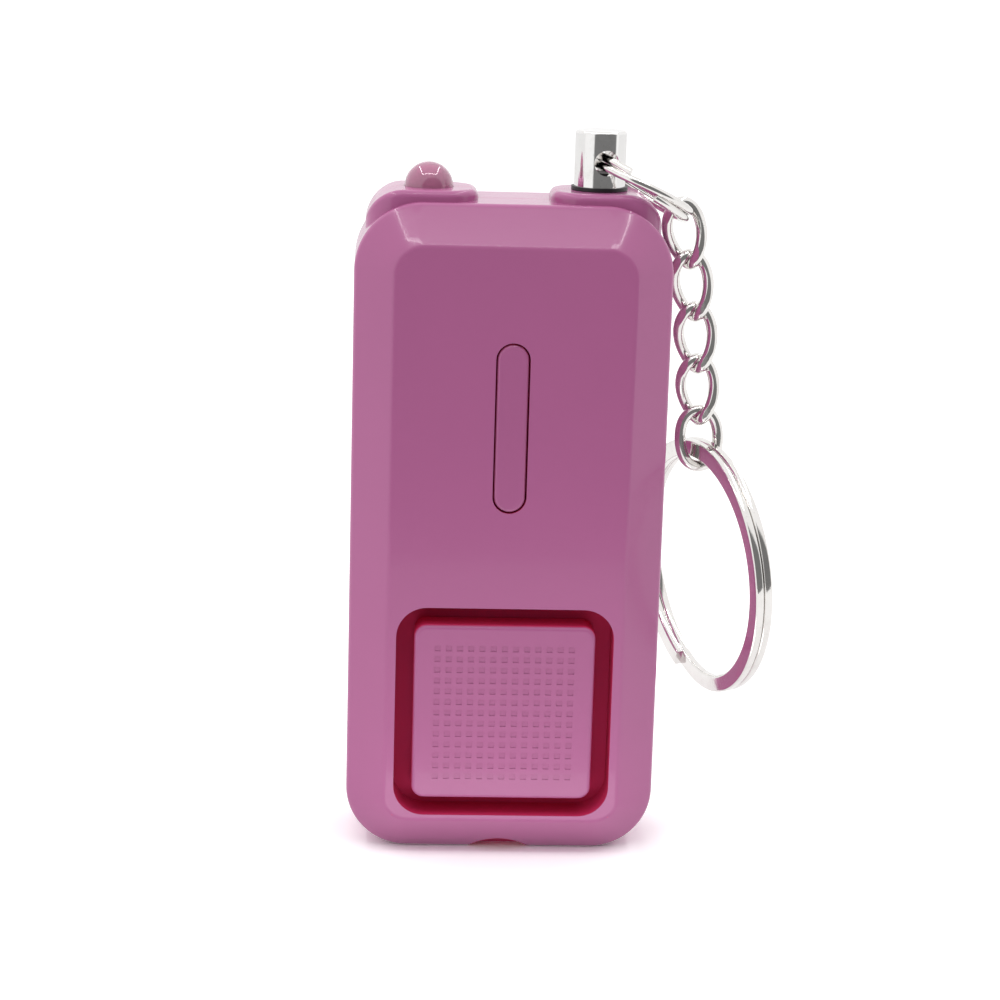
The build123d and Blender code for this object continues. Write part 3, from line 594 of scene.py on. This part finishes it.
class ALARM_OT_case(bpy.types.Operator):
    """The two casings, the battery door, the pill insert and the square button"""

    bl_idname = "alarm.case"
    bl_label = "Case and button"

    def execute(self, context):
        sizes, colours = context.scene.alarm_sizes, context.scene.alarm_colours
        pink, painted_shade = tuple(colours.pink), tuple(colours.painted_shade)
        shell = moulded_plastic("Pink shell", pink, painted_shade, case_shade_mask, roughness=0.2)
        # The trim's pink is a slightly darker copy of the shell's: painted shade on the button and the pill
        trim = moulded_plastic("Pink trim", shade(pink, 0.96), painted_shade, trim_shade_mask, roughness=0.24)
        door = moulded_plastic("Pink door", pink, painted_shade, no_shade_mask, roughness=0.2)
        crease = 28
        smoothed("front_casing", shell, crease)
        smoothed("rear_casing", shell, crease)
        smoothed("pill_insert", trim, crease)
        button = smoothed("square_button", trim, crease)
        shallower_dimples(button.data, sizes)
        smoothed("battery_door", door, crease)
        return {"FINISHED"}


class ALARM_OT_lamp(bpy.types.Operator):
    """The lamp: a half ball on a short round stub and a flange

    The half ball's profile is the radius times the cosine and sine of the rise, from 0 to 90 degrees.
    """

    bl_idname = "alarm.lamp"
    bl_label = "Lamp"

    def execute(self, context):
        sizes, colours = context.scene.alarm_sizes, context.scene.alarm_colours
        rise_steps, round_steps = 24, 72
        low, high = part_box("led_lamp")
        centre = (low + high) / 2
        rise = np.linspace(0, math.pi / 2, rise_steps)[:-1]
        dome_foot = high.z - sizes.lamp_radius
        flange_top = low.z + sizes.lamp_flange_height
        radii = [sizes.lamp_flange, sizes.lamp_flange, sizes.lamp_radius]
        levels = [low.z, flange_top, flange_top]
        radii = np.concatenate([radii, sizes.lamp_radius * np.cos(rise)])
        levels = np.concatenate([levels, dome_foot + sizes.lamp_radius * np.sin(rise)])
        points = revolved(radii, levels, centre, round_steps)
        mesh = surface_mesh("lamp_dome", points, closed_along=False, capped=True)
        epoxy = tinted_epoxy("Lamp epoxy", tuple(colours.lamp))
        link_up("lamp_dome", mesh, epoxy, "case", ["led_lamp"])
        return {"FINISHED"}


class ALARM_OT_pin(bpy.types.Operator):
    """The chromed head of the pull pin, its black stem, the socket and the blades"""

    bl_idname = "alarm.pin"
    bl_label = "Pull pin"

    def execute(self, context):
        colours = context.scene.alarm_colours
        chrome = plated_metal("Pin chrome", tuple(colours.chrome), roughness=0.07, stain=0.12)
        black = dull_plastic("Black plastic", tuple(colours.black), roughness=0.455)
        brass = turned_metal("Blade brass", tuple(colours.brass), roughness=0.325)
        crease = 30
        smoothed("pin_head", chrome, crease)
        smoothed("pin_stem", black, crease)
        smoothed("pin_socket", black, crease)
        smoothed("contact_blades", brass, crease)
        return {"FINISHED"}


class ALARM_OT_rings(bpy.types.Operator):
    """The small split ring through the pin and the key ring at the chain's end, two coils of wire each"""

    bl_idname = "alarm.rings"
    bl_label = "Split rings"

    def execute(self, context):
        sizes, colours = context.scene.alarm_sizes, context.scene.alarm_colours
        metal = plated_metal("Ring nickel", tuple(colours.nickel), roughness=0.08, stain=0.1)
        wire_sides, band_sides = 24, 32
        outward = Vector((math.cos(sizes.ring_turn), math.sin(sizes.ring_turn), 0))
        down = outward * math.cos(sizes.ring_slope) - UP * math.sin(sizes.ring_slope)
        normal = outward * math.sin(sizes.ring_slope) + UP * math.cos(sizes.ring_slope)
        radius = (sizes.ring_diameter - sizes.ring_wire) / 2
        centre = Vector(HINGE_AT["ring_swing"]) + down * (radius - sizes.ring_shift)
        section = round_section(sizes.ring_wire / 2, wire_sides)
        points = coil_points(radius, sizes.ring_wire + sizes.coil_gap, sizes.ring_start, section)
        points = placed(points, centre, -down, normal)
        mesh = surface_mesh("small_ring_coils", points, closed_along=False, capped=True)
        link_up("small_ring_coils", mesh, metal, "small_ring", ["split_ring"])

        foot, along, _ = link_axes(sizes)[-1]
        radius = (sizes.key_ring_diameter - sizes.key_ring_band) / 2
        drop = radius - sizes.key_ring_band / 2 - sizes.link_wire / 2 - sizes.key_ring_slack
        outward = across_link(-sizes.key_ring_turn, along)
        section = band_section(
            sizes.key_ring_band, sizes.key_ring_coil, sizes.key_ring_corner, band_sides
        )
        pitch = sizes.key_ring_coil + sizes.coil_gap
        points = coil_points(radius, pitch, sizes.key_ring_start, section)
        points = placed(points, foot - along * drop, outward, outward.cross(along))
        mesh = surface_mesh("key_ring_coils", points, closed_along=False, capped=True)
        link_up("key_ring_coils", mesh, metal, "keys", ["key_ring"])
        return {"FINISHED"}


class ALARM_OT_chain(bpy.types.Operator):
    """Four twisted curb links and the plain link at the chain's end"""

    bl_idname = "alarm.chain"
    bl_label = "Chain"

    def execute(self, context):
        sizes, colours = context.scene.alarm_sizes, context.scene.alarm_colours
        metal = plated_metal("Chain nickel", tuple(colours.nickel), roughness=0.08, stain=0.15)
        curb = link_points(
            sizes, sizes.link_width, sizes.link_length, sizes.link_twist, sizes.link_flat
        )
        plain = link_points(sizes, sizes.end_link_width, sizes.end_link_length, 0, sizes.link_wire)
        nodes = [f"chain_link_{number}" for number in range(1, CURB_LINKS + 1)]
        links = [(node, curb, sizes.link_yaw) for node in nodes]
        links.append(("end_link", plain, sizes.end_link_yaw))
        for (node, form, yaw), (foot, along, height) in zip(links, link_axes(sizes)):
            centre = foot + along * (height - sizes.link_wire) / 2
            points = placed(form, centre, across_link(yaw, along), along)
            mesh = surface_mesh(f"{node}_wire", points, closed_along=True)
            link_up(f"{node}_wire", mesh, metal, BODY_OF[node], [node])
        return {"FINISHED"}


class ALARM_OT_inside(bpy.types.Operator):
    """What the case holds: board, switch, siren, cells, contacts and screws"""

    bl_idname = "alarm.inside"
    bl_label = "Inner pieces"

    def execute(self, context):
        colours = context.scene.alarm_colours
        black = dull_plastic("Inner black", tuple(colours.black), roughness=0.505)
        steel = turned_metal("Inner steel", tuple(colours.steel), roughness=0.345)
        brass = turned_metal("Siren brass", tuple(colours.brass), roughness=0.325)
        copper = turned_metal("Coil copper", tuple(colours.copper), roughness=0.375)
        board = dull_plastic("Board mask", tuple(colours.board), roughness=0.355)
        ceramic = dull_plastic("Siren ceramic", tuple(colours.ceramic), roughness=0.605)
        crease = 30
        groups = (
            (black, ("tact_switch", "driver_chip", "capacitor", "siren_ring")),
            (steel, ("switch_plunger", "button_cells", "board_contacts", "door_contact", "door_screw")),
            (steel, ("case_screws", "led_leads")),
            (brass, ("siren_plate", "siren_contacts")),
            (copper, ("boost_coil",)),
            (board, ("circuit_board",)),
            (ceramic, ("siren_ceramic",)),
        )
        for material, nodes in groups:
            for node in nodes:
                smoothed(node, material, crease)
        return {"FINISHED"}


def area_light(name, place, target, width, height, power):
    """A rectangular white light at place that shines at the target"""
    light = bpy.data.lights.new(name, "AREA")
    light.shape, light.size, light.size_y = "RECTANGLE", width, height
    light.energy = power
    lamp = bpy.data.objects.new(name, light)
    lamp.location = place
    lamp.rotation_euler = (Vector(target) - Vector(place)).to_track_quat("-Z", "Y").to_euler()
    bpy.context.scene.collection.objects.link(lamp)
    return lamp


def studio_surroundings():
    """White all round to the camera

    Light and reflections come from a bright room with a dim place before the front, which gives the metal
    its dark strokes.
    """
    bright, dim = 1.05, 0.2
    dim_x, dim_y, dim_z = 0.28, -0.95, -0.12
    world = bpy.data.worlds.new("Studio")
    bpy.context.scene.world = world
    shader = Shader(world, "Generated")
    towards_dim = shader.x * dim_x + shader.y * dim_y + shader.z * dim_z
    level = bright - towards_dim.over(edge=0.62, softness=0.1) * (bright - dim)
    seen = shader.node("ShaderNodeLightPath").output("Is Camera Ray")
    strength = seen + (1 - seen) * level
    backdrop = shader.node("ShaderNodeBackground", None, {"Color": grey(1), "Strength": strength})
    shader.node("ShaderNodeOutputWorld", None, {"Surface": backdrop})


def studio_floor():
    """A matt floor, which the camera sees bleached to white but for the shadow at the foot

    What mirrors it sees a share of plain white in it. It ends a little way before the alarm, so that
    upright metal mirrors the dim place past its end.
    """
    half, front = 6.0, -0.13
    matt_level, bleached_level, mirrored_share = 0.92, 1.25, 0.3
    mesh = bpy.data.meshes.new("floor")
    corners = [(-half, front, 0), (half, front, 0), (half, half, 0), (-half, half, 0)]
    mesh.from_pydata(corners, [], [(0, 1, 2, 3)])
    floor = bpy.data.objects.new("floor", mesh)
    bpy.context.scene.collection.objects.link(floor)
    shader = Shader(bpy.data.materials.new("Floor"))
    path = shader.node("ShaderNodeLightPath")
    matt = shader.node("ShaderNodeBsdfDiffuse", None, {"Color": grey(matt_level)})
    bleached = shader.node("ShaderNodeBsdfDiffuse", None, {"Color": grey(bleached_level)})
    glow = shader.node("ShaderNodeEmission", None, {"Color": grey(1), "Strength": 1.0})
    seen = path.output("Is Camera Ray")
    ground = shader.node("ShaderNodeMixShader", None, {0: seen, 1: matt, 2: bleached})
    mirrored = path.output("Is Glossy Ray") * mirrored_share
    surface = shader.node("ShaderNodeMixShader", None, {0: mirrored, 1: ground, 2: glow})
    shader.node("ShaderNodeOutputMaterial", None, {"Surface": surface})
    mesh.materials.append(shader.material)


def studio_lights():
    """Long bars overhead at both sides and before the front, and a low light before the foot

    The bars show as thin strokes on the lamp and in the mitred corners. The low light lifts the front's
    lower edge, and the camera doesn't see it.
    """
    bar_width, bar_level, bar_side, bar_front, bar_rear = 0.014, 0.42, 0.2, -0.16, 0.28
    left_power, right_power, front_power = 0.26, 0.33, 0.24
    middle, length_back = (bar_front + bar_rear) / 2, bar_rear - bar_front
    for name, x, power in (("left_bar", -bar_side, left_power), ("right_bar", bar_side, right_power)):
        area_light(name, (x, middle, bar_level), (x, middle, 0), bar_width, length_back, power)
    place, target = (0, bar_front, bar_level), (0, bar_front, 0)
    area_light("front_bar", place, target, 2 * bar_side, bar_width, front_power)

    bounce_width, bounce_depth, bounce_power = 0.036, 0.016, 0.0028
    place, target = (0, -0.021, 0.0008), (0, -0.016, 0.03)
    bounce = area_light("foot_bounce", place, target, bounce_width, bounce_depth, bounce_power)
    bounce.visible_camera = False


def fitted_camera():
    """The camera that was fitted to the photograph

    It stands back from its target along the direction of its azimuth and elevation, rolled about that.
    """
    data = bpy.data.cameras.new("camera")
    data.lens, data.sensor_width = CAMERA_LENS, SENSOR_WIDTH
    data.clip_start, data.clip_end = 0.01, 100.0
    camera = bpy.data.objects.new("camera", data)
    azimuth, elevation = math.radians(CAMERA_AZIMUTH), math.radians(CAMERA_ELEVATION)
    level_way = Vector((math.sin(azimuth), -math.cos(azimuth), 0))
    back = level_way * math.cos(elevation) + UP * math.sin(elevation)
    right = (-back).cross(UP).normalized()
    upward = right.cross(-back)
    roll = math.radians(CAMERA_ROLL)
    side = right * math.cos(roll) - upward * math.sin(roll)
    top = right * math.sin(roll) + upward * math.cos(roll)
    turn = Matrix((side, top, back)).transposed().to_4x4()
    turn.translation = Vector(CAMERA_TARGET) + back * CAMERA_DISTANCE
    camera.matrix_world = turn
    bpy.context.scene.collection.objects.link(camera)
    bpy.context.scene.camera = camera


class ALARM_OT_stage(bpy.types.Operator):
    """The pale floor, the studio's light and the camera at the photograph's angle"""

    bl_idname = "alarm.stage"
    bl_label = "Stage"

    def execute(self, context):
        context.scene.view_settings.view_transform = "Standard"
        studio_surroundings()
        studio_floor()
        studio_lights()
        fitted_camera()
        return {"FINISHED"}


class ALARM_PT_panel(bpy.types.Panel):
    """The pieces of the alarm and what can be changed"""

    bl_idname = "ALARM_PT_panel"
    bl_label = "Personal alarm"
    bl_space_type = "VIEW_3D"
    bl_region_type = "UI"
    bl_category = "Alarm"

    def draw(self, context):
        for piece in PIECES:
            self.layout.operator(piece.bl_idname)
        for group in (context.scene.alarm_sizes, context.scene.alarm_colours):
            box = self.layout.box()
            for name in group.bl_rna.properties.keys():
                if name not in ("rna_type", "name"):
                    box.prop(group, name)


PIECES = (
    ALARM_OT_stage, ALARM_OT_case, ALARM_OT_lamp, ALARM_OT_pin,
    ALARM_OT_rings, ALARM_OT_chain, ALARM_OT_inside,
)
CLASSES = (AlarmSizes, AlarmColours, *PIECES, ALARM_PT_panel)


def register():
    """Adds the classes and the two groups of properties"""
    for item in CLASSES:
        bpy.utils.register_class(item)
    bpy.types.Scene.alarm_sizes = bpy.props.PointerProperty(type=AlarmSizes)
    bpy.types.Scene.alarm_colours = bpy.props.PointerProperty(type=AlarmColours)


def unregister():
    """Takes them away again"""
    del bpy.types.Scene.alarm_colours
    del bpy.types.Scene.alarm_sizes
    for item in reversed(CLASSES):
        bpy.utils.unregister_class(item)


def main():
    """Registers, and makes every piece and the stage"""
    register()
    for piece in PIECES:
        getattr(bpy.ops.alarm, piece.bl_idname.split(".")[1])()


if __name__ == "__main__":
    main()
